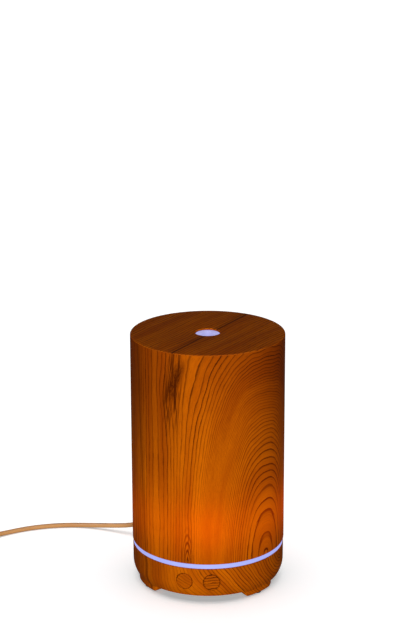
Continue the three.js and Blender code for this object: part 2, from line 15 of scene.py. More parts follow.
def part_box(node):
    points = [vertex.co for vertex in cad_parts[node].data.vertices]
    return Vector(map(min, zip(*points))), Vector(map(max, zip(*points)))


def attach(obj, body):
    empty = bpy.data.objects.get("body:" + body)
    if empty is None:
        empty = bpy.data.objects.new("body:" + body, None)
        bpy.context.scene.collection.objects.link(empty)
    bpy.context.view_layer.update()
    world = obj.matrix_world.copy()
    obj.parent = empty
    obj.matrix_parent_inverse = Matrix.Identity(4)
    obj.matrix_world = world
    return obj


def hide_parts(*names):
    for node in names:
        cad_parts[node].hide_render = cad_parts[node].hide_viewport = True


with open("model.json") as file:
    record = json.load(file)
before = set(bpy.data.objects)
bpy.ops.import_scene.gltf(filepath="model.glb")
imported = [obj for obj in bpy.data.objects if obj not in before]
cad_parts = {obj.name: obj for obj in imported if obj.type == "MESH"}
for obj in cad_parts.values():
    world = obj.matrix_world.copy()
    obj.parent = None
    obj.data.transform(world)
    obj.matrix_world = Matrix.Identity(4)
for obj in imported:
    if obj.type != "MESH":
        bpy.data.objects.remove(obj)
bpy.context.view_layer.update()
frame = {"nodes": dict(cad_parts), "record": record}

MM = 0.001
SLIVER = 3e-6
ON_AXIS = 1e-6
SEAM = 0.3
SCENE = bpy.context.scene
COLLECTION = SCENE.collection

# ---- Sizes read from the frame, in millimetres ----


def extent(node, corner, axis):
    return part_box(node)[corner][axis] / MM


def middle(node, axis):
    return (extent(node, 0, axis) + extent(node, 1, axis)) / 2


COVER_RADIUS = extent("outer_cover", 1, 0)
COVER_BOTTOM = extent("outer_cover", 0, 2)
COVER_TOP = extent("outer_cover", 1, 2)
BASE_RADIUS = extent("base_shell", 1, 0)
BASE_TOP = extent("base_shell", 1, 2)
RING_RADIUS = extent("light_ring", 1, 0)
RING_BOTTOM = BASE_TOP + SEAM
RING_TOP = COVER_BOTTOM - SEAM
TANK_RIM = extent("water_tank", 1, 2)
JACK_Z = middle("dc_jack", 2)
BUTTON_Z = middle("mist_button", 2)

# Angles from the front, in radians, and the circles that feet and screws lie on, in millimetres.
BUTTON_ANGLE = math.radians(10.45)
LED_ANGLE = math.radians(7)
FOOT_ANGLES = [math.radians(a) for a in (55, 125, 235, 305)]
PAD_CIRCLE = 41.55
BOSS_CIRCLE = 30.5

# ---- Camera and light ----

VIEW_PLACE = (0.15102, -1.08662, 0.49514)
VIEW_TURN = (73.704, 0.130, 7.862)
VIEW_LENS = 107.16
VIEW_AZIMUTH = 7.9
AIM = Vector((0, 0, 0.08))
LIGHT_DISTANCE = 1.7
REAR_TURN = 152
SHINE_TURN = 50
AMBIENT = 0.06
AMBIENT_SHINE = 0.25
FLOOR_GLOW = 0.4
FLOOR_SUN = 2.4


def make_camera():
    data = bpy.data.cameras.new("view_camera")
    data.lens = VIEW_LENS
    data.sensor_width = 36
    data.clip_end = 50
    camera = bpy.data.objects.new("view_camera", data)
    camera.location = VIEW_PLACE
    camera.rotation_euler = [math.radians(a) for a in VIEW_TURN]
    COLLECTION.objects.link(camera)
    SCENE.camera = camera


def collection_of(name, objects):
    made = bpy.data.collections.new(name)
    for o in objects:
        made.objects.link(o)
    return made


def area_light(name, azimuth, elevation, size, level, not_on, shine=False):
    """A soft square light aimed at the object, or one that only shines back from glossy surfaces.

    Azimuth 0 stands at -Y, 90 at +X.
    """
    a, e = math.radians(azimuth), math.radians(elevation)
    away = Vector((math.sin(a) * math.cos(e), -math.cos(a) * math.cos(e), math.sin(e)))
    data = bpy.data.lights.new(name, "AREA")
    data.size = size
    data.energy = level * (math.pi * LIGHT_DISTANCE) ** 2
    light = bpy.data.objects.new(name, data)
    light.location = AIM + away * LIGHT_DISTANCE
    light.rotation_euler = away.to_track_quat("Z", "Y").to_euler()
    light.light_linking.receiver_collection = not_on
    light.visible_glossy = shine
    light.visible_diffuse = not shine
    COLLECTION.objects.link(light)


def make_floor():
    """A plain pale floor with a soft overhead light of its own."""
    half = 9
    corners = [(-half, -half, 0), (half, -half, 0), (half, half, 0), (-half, half, 0)]
    mesh = bpy.data.meshes.new("floor")
    mesh.from_pydata(corners, [], [(0, 1, 2, 3)])
    floor = bpy.data.objects.new("floor", mesh)
    COLLECTION.objects.link(floor)
    floor.visible_diffuse = False
    floor.visible_glossy = False
    paper = Shader("floor_paper").finish(
        Base_Color=(0.9, 0.9, 0.9), Roughness=1, Specular_IOR_Level=0,
        Emission_Color=(1, 1, 1), Emission_Strength=FLOOR_GLOW,
    )
    mesh.materials.append(paper)
    data = bpy.data.lights.new("floor_light", "SUN")
    data.energy = FLOOR_SUN
    data.angle = math.radians(70)
    light = bpy.data.objects.new("floor_light", data)
    light.light_linking.receiver_collection = collection_of("floor_only", [floor])
    COLLECTION.objects.link(light)
    return floor


def make_lights(floor):
    not_floor = collection_of("not_floor", [floor])
    not_floor.collection_objects[0].light_linking.link_state = "EXCLUDE"
    area_light("key", VIEW_AZIMUTH, 12, 0.5, 1.0, not_floor)
    area_light("back", VIEW_AZIMUTH + 180, 3, 0.6, 0.5, not_floor)
    for side, level in ((-1, 0.30), (1, 0.20)):
        area_light("rear", VIEW_AZIMUTH + side * REAR_TURN, 3, 0.6, level, not_floor)
        area_light("shine", VIEW_AZIMUTH + side * SHINE_TURN, 55, 0.7, 1.2, not_floor, shine=True)
    world = bpy.data.worlds.new("studio")
    world.use_nodes = True
    tree = world.node_tree
    background = tree.nodes["Background"]
    background.inputs["Color"].default_value = (1, 1, 1, 1)
    path = tree.nodes.new("ShaderNodeLightPath")
    strength = tree.nodes.new("ShaderNodeMapRange")
    strength.inputs["To Min"].default_value = AMBIENT
    strength.inputs["To Max"].default_value = 1
    shine = tree.nodes.new("ShaderNodeMath")
    shine.operation = "MULTIPLY_ADD"
    shine.inputs[1].default_value = AMBIENT_SHINE
    tree.links.new(path.outputs["Is Camera Ray"], strength.inputs["Value"])
    tree.links.new(path.outputs["Is Glossy Ray"], shine.inputs[0])
    tree.links.new(strength.outputs["Result"], shine.inputs[2])
    tree.links.new(shine.outputs["Value"], background.inputs["Strength"])
    SCENE.world = world
    SCENE.view_settings.view_transform = "Standard"


# ---- Mesh helpers ----


def rounded(outline, steps=5):
    """The outline's points, with an arc at each corner that names a radius: (r, z, radius)."""
    points = []
    count = len(outline)
    for i, corner in enumerate(outline):
        here = Vector(corner[:2])
        radius = corner[2] if len(corner) > 2 else 0
        if not radius:
            points.append(here)
            continue
        before = (Vector(outline[i - 1][:2]) - here).normalized()
        after = (Vector(outline[(i + 1) % count][:2]) - here).normalized()
        half = before.angle(after) / 2
        back = radius / math.tan(half)
        centre = here + (before + after).normalized() * (radius / math.sin(half))
        start, end = here + before * back - centre, here + after * back - centre
        turn = start.angle_signed(end)
        for k in range(steps + 1):
            points.append(centre + Matrix.Rotation(-turn * k / steps, 2) @ start)
    return points


def lathe(outline, segments=192, steps=5):
    """A mesh turned about Z from an outline in millimetres. It ends on the axis, or it closes."""
    points = rounded(outline, steps)
    closes = points[0].x > ON_AXIS or points[-1].x > ON_AXIS
    mesh = bmesh.new()
    rows = []
    for p in points:
        if p.x < ON_AXIS:
            rows.append([mesh.verts.new((0, 0, p.y * MM))])
            continue
        ring = []
        for k in range(segments):
            a = 2 * math.pi * k / segments
            ring.append(mesh.verts.new((p.x * MM * math.sin(a), -p.x * MM * math.cos(a), p.y * MM)))
        rows.append(ring)
    pairs = list(zip(rows, rows[1:] + rows[:1]))
    if not closes:
        pairs.pop()
    for low, high in pairs:
        for k in range(segments):
            n = (k + 1) % segments
            corners = [low[k % len(low)], low[n % len(low)], high[n % len(high)], high[k % len(high)]]
            face = list(dict.fromkeys(corners))
            if len(face) > 2:
                mesh.faces.new(face)
    bmesh.ops.recalc_face_normals(mesh, faces=mesh.faces)
    return mesh


def skin(mesh, rings):
    """Closes a mesh over rings of equally many vertices, with a flat face at each end."""
    count = len(rings[0])
    for low, high in zip(rings, rings[1:]):
        for k in range(count):
            n = (k + 1) % count
            mesh.faces.new((low[k], low[n], high[n], high[k]))
    mesh.faces.new(rings[0])
    mesh.faces.new(rings[-1])
    bmesh.ops.recalc_face_normals(mesh, faces=mesh.faces)
    return mesh


def box_mesh(x, y, z, round_by=0.0, steps=3):
    """A block between (low, high) pairs in millimetres, with its edges rounded."""
    mesh = bmesh.new()
    bmesh.ops.create_cube(mesh, size=1)
    for v in mesh.verts:
        for axis, (low, high) in enumerate((x, y, z)):
            v.co[axis] = MM * (high if v.co[axis] > 0 else low)
    if round_by:
        bmesh.ops.bevel(
            mesh, geom=mesh.edges[:], offset=round_by * MM, segments=steps, profile=0.5, affect="EDGES"
        )
    return mesh


def to_object(name, mesh, sharp=35):
    data = bpy.data.meshes.new(name)
    mesh.to_mesh(data)
    mesh.free()
    data.shade_smooth()
    data.set_sharp_from_angle(angle=math.radians(sharp))
    made = bpy.data.objects.new(name, data)
    COLLECTION.objects.link(made)
    return made


def settle(piece, sharp=35):
    """Applies the piece's modifiers to its mesh, and clears slivers and folded faces away."""
    graph = bpy.context.evaluated_depsgraph_get()
    data = bpy.data.meshes.new_from_object(piece.evaluated_get(graph))
    mesh = bmesh.new()
    mesh.from_mesh(data)
    bmesh.ops.remove_doubles(mesh, verts=mesh.verts, dist=SLIVER)
    bmesh.ops.dissolve_degenerate(mesh, edges=mesh.edges, dist=SLIVER)
    bmesh.ops.triangulate(mesh, faces=[face for face in mesh.faces if len(face.verts) > 4])
    folds = [edge for edge in mesh.edges if len(edge.link_faces) > 2]
    for edge in folds:
        by_area = sorted(edge.link_faces, key=lambda face: face.calc_area())
        bmesh.ops.delete(mesh, geom=by_area[:-2], context="FACES_ONLY")
    mesh.to_mesh(data)
    mesh.free()
    piece.modifiers.clear()
    old = piece.data
    piece.data = data
    data.name = piece.name
    bpy.data.meshes.remove(old)
    data.shade_smooth()
    data.set_sharp_from_angle(angle=math.radians(sharp))
    return piece


def combine(piece, tools, operation):
    """Joins or cuts the piece with bmesh tools, one after another."""
    for i, tool in enumerate(tools):
        other = to_object(f"tool_{i}", tool)
        step = piece.modifiers.new("combine", "BOOLEAN")
        step.operation = operation
        step.solver = "EXACT"
        step.object = other
        settle(piece)
        bpy.data.objects.remove(other)
    return piece


def cut(piece, *tools):
    return combine(piece, tools, "DIFFERENCE")


def unite(piece, *tools):
    return combine(piece, tools, "UNION")


def bevel(piece, width, segments=3, angle=40):
    step = piece.modifiers.new("edges", "BEVEL")
    step.width = width * MM
    step.segments = segments
    step.limit_method = "ANGLE"
    step.angle_limit = math.radians(angle)
    step.harden_normals = False
    return settle(piece)


def turned(mesh, *turns, move=(0, 0, 0)):
    """The mesh after turns of (degrees, axis), then a move in millimetres."""
    for degrees, axis in turns:
        mesh.transform(Matrix.Rotation(math.radians(degrees), 4, axis))
    mesh.transform(Matrix.Translation(Vector(move) * MM))
    return mesh


def at_angle(angle, radius):
    """A place in millimetres at a distance from the axis, at an angle from the front towards +X."""
    return (radius * math.sin(angle), -radius * math.cos(angle), 0)


def rod(radius, low, high, place=(0, 0, 0), edge=0.0, segments=48):
    """An upright pin between two heights in millimetres."""
    outline = [(0, low), (radius, low, edge), (radius, high, edge), (0, high)]
    return turned(lathe(outline, segments, 3), move=place)


def along_y(mesh):
    """Lays an upright mesh down at the jack's height, so that its heights run along +Y."""
    return turned(mesh, (-90, "X"), move=(0, 0, JACK_Z))


def dress(piece, body, slot, *nodes, material=None):
    """Gives a piece its body and the material of its slot, or its own, and hides the CAD nodes it stands for.
    """
    piece.data.materials.clear()
    piece.data.materials.append(MATERIALS[material or slot])
    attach(piece, body)
    if nodes:
        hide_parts(*nodes)
    return piece


# ---- Material helpers ----


class Shader:
    """Builds one node material, a value at a time."""

    def __init__(self, name):
        self.material = bpy.data.materials.new(name)
        self.material.use_nodes = True
        self.tree = self.material.node_tree
        self.main = self.tree.nodes["Principled BSDF"]
        place = self.tree.nodes.new("ShaderNodeTexCoord").outputs["Object"]
        self.place = self.scale(place, 1 / MM)
        self.x, self.y, self.z = self.split(self.place)

    def node(self, kind, **settings):
        made = self.tree.nodes.new(kind)
        for key, value in settings.items():
            setattr(made, key, value)
        return made

    def feed(self, socket, value):
        if isinstance(value, bpy.types.NodeSocket):
            self.tree.links.new(value, socket)
        else:
            socket.default_value = value

    def math(self, operation, *values, clamp=False):
        made = self.node("ShaderNodeMath", operation=operation, use_clamp=clamp)
        for socket, value in zip(made.inputs, values):
            self.feed(socket, value)
        return made.outputs[0]

    def add(self, a, b):
        return self.math("ADD", a, b)

    def less(self, a, b):
        return self.math("SUBTRACT", a, b)

    def times(self, a, b):
        return self.math("MULTIPLY", a, b)

    def bell(self, value, width, power=2):
        """1 where the value is 0, falling to nothing a few widths away."""
        ratio = self.math("ABSOLUTE", self.math("DIVIDE", value, width))
        return self.math("EXPONENT", self.times(self.math("POWER", ratio, power), -1))

    def wrap(self, value, half):
        """The value brought between minus and plus half of its period."""
        return self.math("WRAP", value, half, -half)

    def scale(self, vector, by):
        made = self.node("ShaderNodeVectorMath", operation="SCALE")
        self.feed(made.inputs[0], vector)
        made.inputs["Scale"].default_value = by
        return made.outputs[0]

    def split(self, vector):
        made = self.node("ShaderNodeSeparateXYZ")
        self.feed(made.inputs[0], vector)
        return made.outputs[0], made.outputs[1], made.outputs[2]

    def point(self, x, y, z=0.0):
        made = self.node("ShaderNodeCombineXYZ")
        for socket, value in zip(made.inputs, (x, y, z)):
            self.feed(socket, value)
        return made.outputs[0]

    def noise(self, vector, scale, detail=2.0, rough=0.5):
        """Noise from about 0.2 to 0.8, at a scale in features per millimetre."""
        made = self.node("ShaderNodeTexNoise")
        self.feed(made.inputs["Vector"], vector)
        made.inputs["Scale"].default_value = scale
        made.inputs["Detail"].default_value = detail
        made.inputs["Roughness"].default_value = rough
        return made.outputs[0]

    def streaks(self, a, b, a_scale, b_scale, seed=0.0, detail=2.0, rough=0.5):
        """Noise with its own features per millimetre along each of two coordinates."""
        vector = self.point(self.times(a, a_scale), self.times(b, b_scale), seed)
        return self.noise(vector, 1, detail, rough)

    def random(self, value):
        made = self.node("ShaderNodeTexWhiteNoise", noise_dimensions="1D")
        self.feed(made.inputs["W"], value)
        return made.outputs["Value"]

    def span(self, value, low, high, to_low=0.0, to_high=1.0, smooth=False):
        made = self.node("ShaderNodeMapRange", interpolation_type="SMOOTHSTEP" if smooth else "LINEAR")
        for socket, number in zip(made.inputs, (value, low, high, to_low, to_high)):
            self.feed(socket, number)
        return made.outputs[0]

    def blend(self, factor, a, b):
        """The number a, or b where the factor is 1."""
        made = self.node("ShaderNodeMix", data_type="FLOAT")
        self.feed(made.inputs[0], factor)
        self.feed(made.inputs[2], a)
        self.feed(made.inputs[3], b)
        return made.outputs[0]

    def tint(self, factor, a, b, kind="MIX"):
        """The colour a, or b where the factor is 1."""
        made = self.node("ShaderNodeMix", data_type="RGBA", blend_type=kind)
        for socket, value in zip((made.inputs[0], made.inputs[6], made.inputs[7]), (factor, a, b)):
            self.feed(socket, value if not isinstance(value, tuple) else (*value, 1))
        return made.outputs[2]

    def dimmed(self, colour, level):
        """The colour times a number."""
        return self.tint(1.0, colour, self.point(level, level, level), "MULTIPLY")

    def ramp(self, value, stops):
        made = self.node("ShaderNodeValToRGB")
        elements = made.color_ramp.elements
        for i, (place, shade) in enumerate(stops):
            element = elements[i] if i < len(elements) else elements.new(place)
            element.position = place
            element.color = (*shade, 1) if isinstance(shade, tuple) else (shade, shade, shade, 1)
        self.feed(made.inputs[0], value)
        return made.outputs[0]

    def curve(self, value, points):
        """A smooth curve through points whose numbers lie between 0 and 1."""
        made = self.node("ShaderNodeFloatCurve")
        line = made.mapping.curves[0]
        for i, (x, y) in enumerate(points):
            if i < len(line.points):
                line.points[i].location = (x, y)
            else:
                line.points.new(x, y)
        made.mapping.update()
        self.feed(made.inputs["Value"], value)
        return made.outputs[0]

    def bump(self, height, depth, strength=1.0):
        """Gives the surface a relief of that depth in millimetres."""
        made = self.node("ShaderNodeBump")
        made.inputs["Strength"].default_value = strength
        made.inputs["Distance"].default_value = depth * MM
        self.feed(made.inputs["Height"], height)
        self.tree.links.new(made.outputs[0], self.main.inputs["Normal"])

    def finish(self, **inputs):
        """Sets the shader's own sockets, by name with underscores for spaces."""
        for key, value in inputs.items():
            socket = self.main.inputs[key.replace("_", " ")]
            if isinstance(value, tuple) and len(value) == 3 and socket.type == "RGBA":
                value = (*value, 1)
            self.feed(socket, value)
        return self.material


# ---- Wood print, with painted shade ----

LINE_SHAPE = [(0.0, 0.15), (0.04, 0.0), (0.55, 0.04), (0.78, 0.30), (0.87, 0.95), (0.95, 1.0), (1.0, 0.15)]
WOOD_LIGHT = (0.56, 0.118, 0.0005)
WOOD_MID = (0.41, 0.072, 0.0003)
WOOD_DARK = (0.062, 0.008, 0.0)
WOOD_GLOSS = {"Roughness": 0.68, "Specular_IOR_Level": 0.02}
COVER_HALF_TURN = math.pi * COVER_RADIUS
KNOT_U, KNOT_Z = -13.6, 142.0
SMALL_KNOT_U = -6.2
ARCH_U = math.radians(56.3) * COVER_RADIUS
TOP_GRAIN = math.radians(64.9)
TOP_CRACK = math.radians(68.3)
LAMP_LEVEL = 0.33
VIEW_TURNED = math.radians(VIEW_AZIMUTH)
# Painted shade: the colour darkens round two directions, this far to the left and right of the view.
PAINTED_SHADE_TURN = math.radians(80)
PAINTED_SHADE_WIDTH = 0.44


def wood(s, rings, across, along, contrast=1.0, shade=None, spot=None):
    """The wood print's colour and relief, from a count of growth rings and the grain's own axes in mm.

    The shade multiplies the colour, and the spot adds the dark wood of a knot or a resin streak, and on the
    base's feet a painted shadow.
    """
    wander = s.streaks(across, along, 0.30, 0.045, detail=3, rough=0.6)
    rings = s.add(rings, s.span(wander, 0.25, 0.75, -0.22, 0.22))
    line = s.ramp(s.math("FRACT", rings), LINE_SHAPE)
    own = s.span(s.random(s.math("FLOOR", rings)), 0, 1, 0.6, 1.1)
    patch = s.span(s.streaks(across, along, 0.07, 0.03), 0.3, 0.7, 0.68, 1.05)
    line = s.times(s.times(line, own), s.times(patch, contrast))
    tone = s.streaks(across, along, 0.11, 0.008, rough=0.6)
    fibre = s.streaks(across, along, 2.6, 0.16, detail=3, rough=0.6)
    pore = s.span(s.streaks(across, along, 5.5, 0.5, detail=1), 0.62, 0.74)
    colour = s.tint(s.span(tone, 0.32, 0.68, smooth=True), WOOD_MID, WOOD_LIGHT)
    colour = s.tint(s.math("MULTIPLY", line, 0.92, clamp=True), colour, WOOD_DARK)
    colour = s.tint(s.times(pore, 0.30), colour, WOOD_DARK)
    if spot is not None:
        colour = s.tint(s.math("MULTIPLY", spot, 0.85, clamp=True), colour, WOOD_DARK)
    level = s.span(fibre, 0.25, 0.75, 0.84, 1.12)
    if shade is not None:
        level = s.times(level, shade)
    colour = s.tint(1.0, colour, s.point(level, s.math("POWER", level, 1.3), level), "MULTIPLY")
    s.bump(s.less(s.times(fibre, 0.5), line), 0.04, 0.6)
    return colour


def azimuth(s):
    """The angle from the front, in radians, growing towards +X."""
    return s.math("ARCTAN2", s.x, s.times(s.y, -1))


def turn_from(s, direction):
    """The angle from a direction, in radians, between minus and plus half a turn."""
    return s.wrap(s.less(azimuth(s), direction), math.pi)


def arch_field(s, across, rise):
    """How far out an arch lies that passes through a point, as its half width at the bottom."""
    lift = s.add(s.times(rise, 0.315), s.times(s.less(1, s.math("EXPONENT", s.times(rise, -1 / 12))), 3.6))
    lift = s.math("MAXIMUM", lift, 0)
    power = 2.5
    fade = s.bell(across, 55, 8)
    total = s.add(s.math("POWER", across, power), s.times(s.math("POWER", lift, power), fade))
    return s.math("POWER", total, 1 / power)


# Growth rings inside an arch of each half width in millimetres.
RING_COUNTS = [
    (0, 0), (2.3, 1), (7.7, 2), (12.4, 3), (17.5, 5), (22.1, 8), (27.2, 12), (33.5, 20), (37, 26),
    (45.5, 39), (48, 41), (57, 46), (70, 52), (84, 55),
]


def side_lines(s, u):
    """The side's ring count, its distance from the arches' middle, its strength and its rise."""
    from_arch = s.math("ABSOLUTE", s.wrap(s.less(u, ARCH_U), COVER_HALF_TURN))
    near = s.math("LESS_THAN", from_arch, COVER_HALF_TURN / 2)
    across = s.blend(near, s.less(COVER_HALF_TURN, from_arch), from_arch)
    rise = s.blend(near, s.less(150, s.z), s.less(s.z, COVER_BOTTOM))
    field = arch_field(s, across, rise)
    sway = s.streaks(u, s.z, 0.03, 0.013, seed=3.0)
    most_sway = s.span(field, 10, 35, 0.2, 1.6)
    field = s.add(field, s.times(s.span(sway, 0.2, 0.8, -1, 1), most_sway))
    most_distance, most_rings = RING_COUNTS[-1]
    points = [(distance / most_distance, rings / most_rings) for distance, rings in RING_COUNTS]
    rings = s.times(s.curve(s.times(field, 1 / most_distance), points), most_rings)
    calm = s.times(s.bell(s.less(field, 39), 7.5, 4), s.span(s.z, 75, 125, 0.5, 0.0))
    strength = s.add(s.less(1.1, calm), s.times(s.bell(field, 24), 0.35))
    return rings, field, strength, rise


def from_line(s, turn):
    """How far a point lies to the side of a line through the axis, at an angle from +X."""
    return s.less(s.times(s.x, math.sin(turn)), s.times(s.y, math.cos(turn)))


def top_lines(s):
    """The top's distances across and along its grain, and the dark of its two cracks."""
    across = from_line(s, TOP_GRAIN)
    along = s.add(s.times(s.x, math.cos(TOP_GRAIN)), s.times(s.y, math.sin(TOP_GRAIN)))
    crack = from_line(s, TOP_CRACK)
    cracks = s.add(s.bell(s.less(crack, 2.5), 0.8), s.times(s.bell(s.less(crack, 0.2), 0.5), 0.6))
    bow = s.streaks(across, along, 0.02, 0.012, seed=7.0)
    return s.add(across, s.span(bow, 0.2, 0.8, -4, 4)), along, cracks


def cover_knots(s, u, beside, rise):
    """The dark wood of the tall knot, the small knot at the bottom and a resin streak at the left."""
    above = s.less(s.z, KNOT_Z)
    lean = s.less(beside, s.times(above, 0.10))
    strokes = s.streaks(lean, s.z, 1.15, 0.04, seed=9.0, rough=0.6)
    bundle = s.times(s.bell(s.add(lean, 1.5), 6.2, 4), s.bell(s.add(above, 3), 25, 4))
    bundle = s.times(bundle, s.span(strokes, 0.46, 0.55, 0, 1.1))
    core_lean = s.less(beside, s.times(above, 0.36))
    core = s.times(s.bell(s.add(core_lean, 1.2), 4.2, 4), s.bell(s.less(above, 1), 13.0, 4))
    mottle = s.streaks(core_lean, s.z, 0.9, 0.3, seed=5.0, detail=3, rough=0.7)
    knot = s.math("MAXIMUM", bundle, s.times(core, s.span(mottle, 0.35, 0.6, 0.6, 1.1)))
    small_u = s.less(u, SMALL_KNOT_U)
    arch = s.math("SQRT", s.add(s.times(small_u, small_u), s.math("POWER", s.times(rise, 0.17), 2)))
    small = s.math("FRACT", s.times(arch, 1.15))
    small = s.times(s.bell(s.less(small, 0.7), 0.24), s.bell(arch, 3.8, 6))
    streak = s.bell(s.less(u, s.add(s.times(s.z, -0.055), -37.0)), 1.5)
    return s.math("MAXIMUM", s.math("MAXIMUM", knot, s.times(small, 1.15)), s.times(streak, 0.5))


def cover_shade(s, u, from_left):
    """Painted shade at the sides of the view; also darker upwards and at the upper right, and paler in two
    bands.
    """
    # Painted shade: a darker band round each side of the view.
    painted_side_shade = s.add(s.bell(from_left, PAINTED_SHADE_WIDTH), s.bell(turn_from(s, VIEW_TURNED + PAINTED_SHADE_TURN), PAINTED_SHADE_WIDTH))
    front = s.math("ABSOLUTE", turn_from(s, VIEW_TURNED))
    beside_front = s.span(front, 0.4, 0.9, smooth=True)
    shade = s.blend(beside_front, s.span(s.z, 60, 150, 1.02, 0.86), s.span(s.z, 70, 135, 1.2, 0.74))
    shade = s.times(shade, s.less(1, s.times(painted_side_shade, s.span(s.z, 70, 120, 0.16, 0.26))))
    upper_right = s.times(s.bell(s.less(u, 48), 38, 4), s.span(s.z, 112, 158, smooth=True))
    shade = s.times(shade, s.less(1, s.times(upper_right, 0.14)))
    pale = s.add(s.bell(s.add(u, 3), 9), s.bell(s.add(u, 36.5), 3.5))
    return s.times(shade, s.add(1, s.times(pale, s.span(s.z, 50, 90, 0.02, 0.14, smooth=True))))


def lamp_glow(s, u, on_side, from_left):
    """Painted lamplight: an emission over the wall, strongest over four lamps and halved at the left of the
    view.
    """
    from_led = s.wrap(s.less(u, LED_ANGLE * COVER_RADIUS), COVER_HALF_TURN / 4)
    glow = s.times(s.bell(s.less(s.z, 50), 17), s.add(s.times(s.bell(from_led, 15), 0.45), 0.5))
    glow = s.add(glow, s.times(s.bell(s.less(s.z, 68), 28), 0.10))
    glow = s.times(glow, s.less(on_side, s.times(s.bell(from_left, 0.5), 0.5)))
    return s.dimmed((1.0, 0.085, 0.0), glow)


def cover_wood():
    """Tall arches right of the front, straight grain between them, and plain straight lines on top."""
    s = Shader("wood_print_cover")
    plain_u = s.times(azimuth(s), COVER_RADIUS)
    beside = s.less(plain_u, KNOT_U)
    push = s.times(s.bell(s.add(beside, 5), 9), s.bell(s.less(s.z, KNOT_Z - 9), 15))
    u = s.add(plain_u, s.times(push, 2.6))
    rings, field, strength, rise = side_lines(s, u)
    top_across, top_along, cracks = top_lines(s)
    on_top = s.span(s.z, COVER_TOP - 0.45, COVER_TOP - 0.35)
    rings = s.blend(on_top, rings, s.add(s.times(top_across, 0.42), 60))
    across = s.blend(on_top, field, s.add(top_across, 300))
    along = s.blend(on_top, s.z, top_along)
    strength = s.blend(on_top, strength, 0.95)
    spot = s.blend(on_top, cover_knots(s, u, beside, rise), s.times(cracks, 1.1))
    from_left = turn_from(s, VIEW_TURNED - PAINTED_SHADE_TURN)
    shade = s.blend(on_top, cover_shade(s, u, from_left), 1.08)
    colour = wood(s, rings, across, along, strength, shade, spot)
    # Painted lamplight on the cover, given as emission.
    painted_lamp_glow = lamp_glow(s, u, s.less(1, on_top), from_left)
    return s.finish(Base_Color=colour, Emission_Color=painted_lamp_glow, Emission_Strength=LAMP_LEVEL, **WOOD_GLOSS)


def base_wood():
    """Lines that slant down to the right in front, round off right of it and stand upright elsewhere."""
    s = Shader("wood_print_base")
    u = s.times(azimuth(s), BASE_RADIUS)
    out = s.math("ABSOLUTE", s.wrap(s.less(u, 66), math.pi * BASE_RADIUS))
    drop = s.less(BASE_TOP, s.z)
    bow = s.noise(s.scale(s.place, 0.04), 1, 2)
    round_off = s.times(s.times(drop, drop), s.times(s.bell(out, 60, 4), 1.2))
    slant = s.times(drop, s.add(s.times(s.bell(s.less(out, 50), 28), 0.6), 0.1))
    across = s.add(s.math("SQRT", s.add(s.times(out, out), round_off)), slant)
    across = s.add(across, s.span(bow, 0.2, 0.8, -1.8, 1.8))
    strength = s.span(across, 54, 80, 1.15, 0.45, smooth=True)
    streak = s.times(s.bell(s.less(across, 105.5), 1.0), 0.7)
    # Painted shade: darker at the left of the view, and lighter in the middle of the view.
    from_left = turn_from(s, VIEW_TURNED - PAINTED_SHADE_TURN)
    shade = s.less(1, s.times(s.bell(from_left, PAINTED_SHADE_WIDTH), 0.25))
    from_middle = turn_from(s, VIEW_TURNED - math.radians(12))
    shade = s.times(shade, s.add(0.9, s.times(s.bell(from_middle, 0.75), 0.19)))
    # Painted shadow: the feet darken just under the base's bottom edge.
    foot_crease_shadow = s.times(s.span(s.z, 3.9, 4.75), s.math("LESS_THAN", s.z, 4.85))
    spot = s.math("MAXIMUM", streak, s.times(foot_crease_shadow, 0.65))
    colour = wood(s, s.times(across, 0.40), across, s.z, strength, shade, spot)
    return s.finish(Base_Color=colour, **WOOD_GLOSS)


def button_wood(name, angle, lean, contrast):
    """The print on a button: straight lines across it, leaning by some degrees."""
    s = Shader(name)
    a, lean = angle, math.radians(lean)
    side = s.add(s.times(s.x, math.cos(a)), s.times(s.y, math.sin(a)))
    up = s.less(s.z, BUTTON_Z)
    across = s.less(s.times(up, math.cos(lean)), s.times(side, math.sin(lean)))
    along = s.add(s.times(side, math.cos(lean)), s.times(up, math.sin(lean)))
    bow = s.streaks(side, up, 0.16, 0.16, seed=11.0 + lean)
    across = s.add(across, s.span(bow, 0.2, 0.8, -0.8, 0.8))
    colour = wood(s, s.add(s.times(across, 0.55), 20), across, along, contrast, 0.96)
    return s.finish(Base_Color=colour, **WOOD_GLOSS)


# ---- Other materials ----


def plastic(name, colour, rough, grain=0.05, grain_scale=3.0, specular=0.4, shade=0.06):
    """Moulded plastic: faint colour variation and a fine moulded texture."""
    s = Shader(name)
    cloud = s.noise(s.place, 0.08, 3)
    fine = s.noise(s.place, grain_scale, 2)
    level = s.span(cloud, 0.3, 0.7, 1 - shade, 1 + shade)
    base = s.dimmed(colour, level)
    s.bump(fine, grain, 0.5)
    gloss = s.span(fine, 0.3, 0.7, rough - 0.05, rough + 0.05)
    return s.finish(Base_Color=base, Roughness=gloss, Specular_IOR_Level=specular)


def metal(name, colour, rough, lines=2.0):
    """Plated or turned metal with fine tool marks."""
    s = Shader(name)
    marks = s.noise(s.point(s.times(s.x, lines), s.times(s.y, lines), s.times(s.z, lines * 4)), 1, 3)
    cloud = s.noise(s.place, 0.25, 2)
    base = s.tint(s.span(cloud, 0.3, 0.7), colour, tuple(0.8 * c for c in colour))
    s.bump(marks, 0.01, 0.5)
    gloss = s.span(marks, 0.3, 0.7, rough - 0.06, rough + 0.08)
    return s.finish(Base_Color=base, Roughness=gloss, Metallic=1.0)


